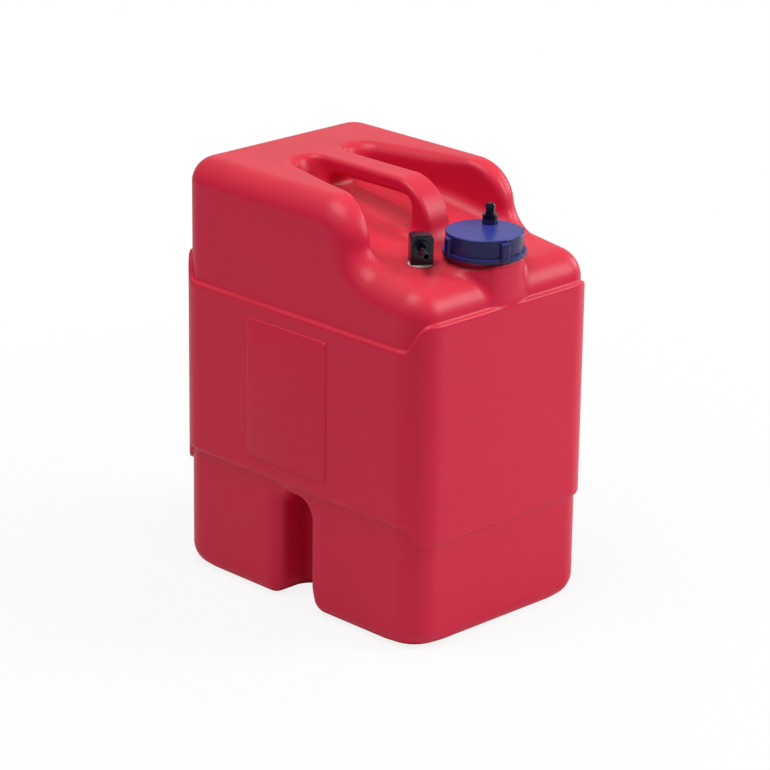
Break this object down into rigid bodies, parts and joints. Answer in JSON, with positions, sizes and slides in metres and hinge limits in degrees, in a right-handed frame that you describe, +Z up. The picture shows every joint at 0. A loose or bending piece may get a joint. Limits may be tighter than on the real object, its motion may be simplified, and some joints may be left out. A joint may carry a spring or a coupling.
{
  "type": "portable outboard fuel tank",
  "caption": "Upright moulded fuel tank with integral carrying handle, screw filler cap with vent screw, and swivelling outlet with hose tail and pick-up tube.",
  "frame": {"origin": "centre of the footprint on the ground", "axes": "+Z up, -Y towards the narrow face with the filler cap, X across the narrow width"},
  "size_m": [0.251, 0.3475, 0.427],
  "materials": {
    "tank_red": "soft satin moulded polyethylene",
    "cap_blue": "satin moulded plastic",
    "navy_plastic": "glossy moulded plastic",
    "nylon_pale": "natural nylon",
    "seal_rubber": "matt nitrile rubber",
    "spring_steel": "bright spring steel"
  },
  "bodies": {
    "tank": {"tank_shell": "tank_red", "outlet_bush": "nylon_pale", "outlet_washer": "nylon_pale"},
    "cap_carrier": {"cap_gasket": "seal_rubber"},
    "cap_ring": {"cap_slip_ring": "nylon_pale"},
    "cap": {"filler_cap": "cap_blue", "vent_body": "navy_plastic", "vent_baffle": "cap_blue"},
    "vent_screw": {"vent_knob": "navy_plastic", "vent_clip": "spring_steel", "vent_o_ring": "seal_rubber"},
    "outlet": {"outlet_body": "navy_plastic", "hose_tail": "navy_plastic", "outlet_o_ring": "seal_rubber", "outlet_clip": "spring_steel", "pickup_tube": "nylon_pale", "strainer_cage": "navy_plastic", "strainer_mesh": "nylon_pale"}
  },
  "joints": [
    {"name": "cap_lift_off", "type": "slide", "parent": "tank", "child": "cap_carrier", "axis": [0, 0, 1], "range_m": [0, 0.08]},
    {"name": "cap_rise", "type": "slide", "parent": "cap_carrier", "child": "cap_ring", "axis": [0, 0, 1], "range_m": [0, 0.0121]},
    {"name": "cap_turn", "type": "hinge", "parent": "cap_ring", "child": "cap", "pos_m": [0, -0.1345, 0.3885], "axis": [0, 0, 1], "range_deg": [0, 720]},
    {"name": "vent_turn", "type": "hinge", "parent": "cap", "child": "vent_screw", "pos_m": [0.02, -0.122, 0.3984], "axis": [0, 0, 1], "range_deg": [0, 720]},
    {"name": "outlet_swivel", "type": "hinge", "parent": "tank", "child": "outlet", "pos_m": [-0.051, -0.1, 0.363], "axis": [0, 0, -1], "range_deg": [-20, 100]}
  ],
  "couplings": [
    {"joint": "cap_rise", "follows": "cap_turn", "m_per_rad": 0.00095493}
  ]
}
